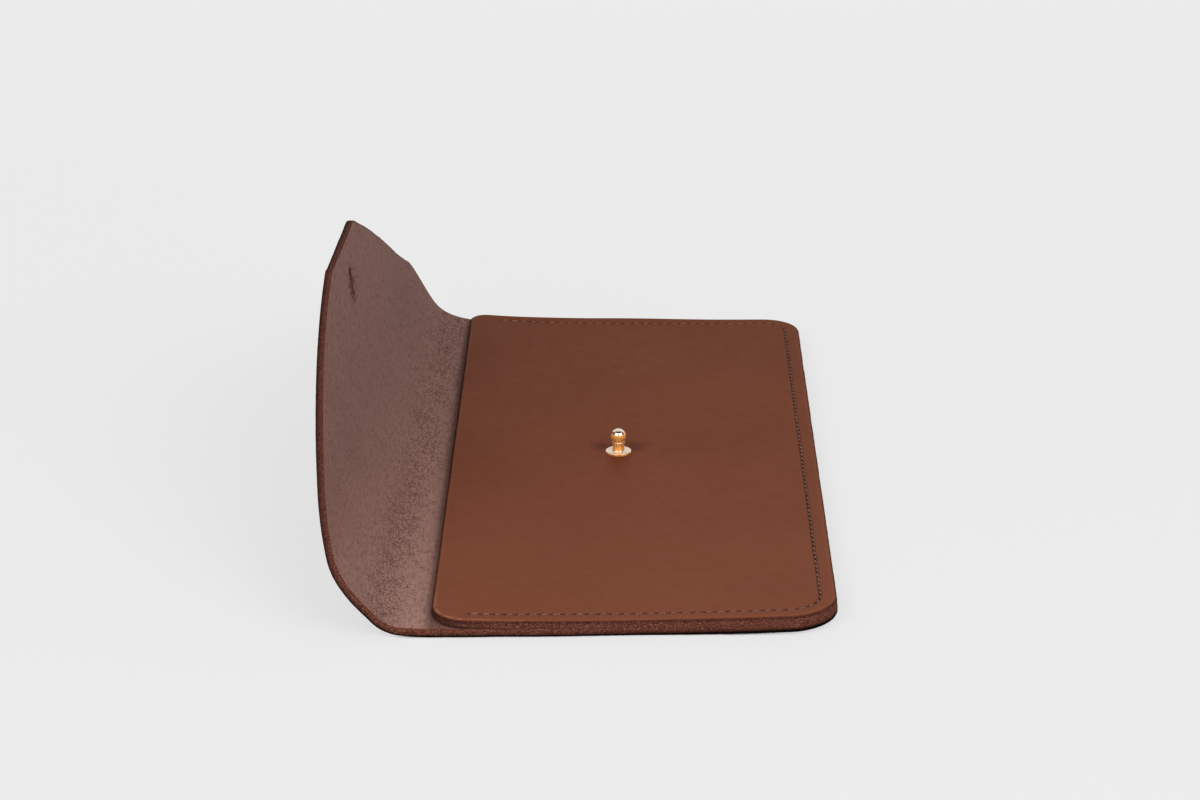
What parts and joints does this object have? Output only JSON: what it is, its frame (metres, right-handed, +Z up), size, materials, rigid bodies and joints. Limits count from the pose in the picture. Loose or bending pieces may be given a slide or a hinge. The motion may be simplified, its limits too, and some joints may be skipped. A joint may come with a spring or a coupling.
{
  "type": "document holder",
  "caption": "Flat leather document holder: a sewn pocket, open at its mouth, whose back runs on as a bent-up tapered flap with a keyhole that buttons over a brass ball stud.",
  "frame": {"origin": "middle of the pocket's underside, on the surface that the holder lies on", "axes": "+X from the mouth to the closed end, +Y along the long side, +Z up out of the front, towards the stud"},
  "size_m": [0.1508, 0.256, 0.0748],
  "materials": {
    "back_leather": "brown, smooth grain outside, suede flesh inside",
    "front_leather": "brown, smooth satin grain, raw cut edges",
    "stud_brass": "polished",
    "screw_brass": "plain",
    "thread": "waxed taupe thread"
  },
  "bodies": {
    "root": {"back_panel": "back_leather", "front_panel": "front_leather", "stud": "stud_brass", "stud_screw": "screw_brass"}
  },
  "joints": []
}
